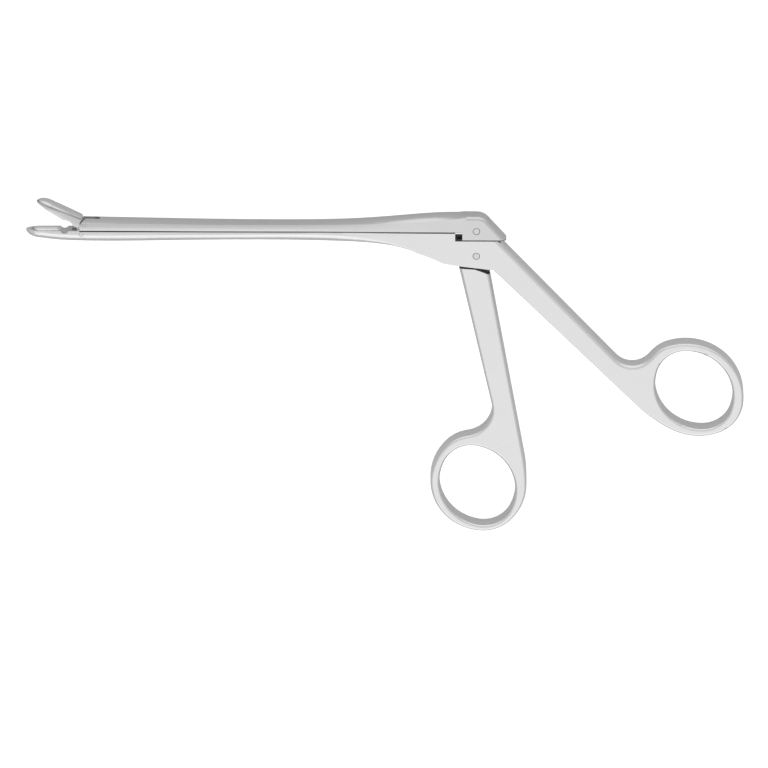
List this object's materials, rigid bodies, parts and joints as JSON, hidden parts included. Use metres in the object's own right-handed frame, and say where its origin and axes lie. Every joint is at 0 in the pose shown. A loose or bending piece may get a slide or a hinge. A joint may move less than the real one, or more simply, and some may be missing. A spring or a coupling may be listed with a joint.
{
  "type": "bone rongeur",
  "caption": "Hand instrument for nibbling bone: ring handles push a long slide that shuts a cupped jaw onto a fixed one",
  "frame": {"origin": "on the axis of the handle pivot, in the plane of the side that the instrument rests on", "axes": "X runs along the shaft with the jaws towards -X, Y runs across it with the slide on the +Y side, Z is the thickness and points up from the resting side"},
  "size_m": [0.2152, 0.1054, 0.006],
  "materials": {
    "satin_steel": "satin with polished edges",
    "pin_steel": "ground flush and satin"
  },
  "bodies": {
    "body": {"fixed_frame": "satin_steel", "handle_pivot_pin": "pin_steel", "jaw_pivot_pin": "pin_steel"},
    "slider": {"slide": "satin_steel", "slide_drive_pin": "pin_steel", "jaw_drive_pin": "pin_steel"},
    "handle": {"front_handle": "satin_steel"},
    "jaw": {"upper_jaw": "satin_steel"}
  },
  "joints": [
    {"name": "handle_hinge", "type": "hinge", "parent": "body", "child": "handle", "pos_m": [0, 0, 0.003], "axis": [0, 0, 1], "range_deg": [0, 12.77]},
    {"name": "slide_travel", "type": "slide", "parent": "body", "child": "slider", "axis": [-1, 0, 0], "range_m": [0, 0.0018]},
    {"name": "jaw_hinge", "type": "hinge", "parent": "body", "child": "jaw", "pos_m": [-0.1182, 0.0063, 0.003], "axis": [0, 0, 1], "range_deg": [0, 32.6]}
  ],
  "couplings": [
    {"joint": "slide_travel", "follows": "handle_hinge", "m_per_rad": 0.008034},
    {"joint": "jaw_hinge", "follows": "handle_hinge", "ratio": 2.546}
  ]
}
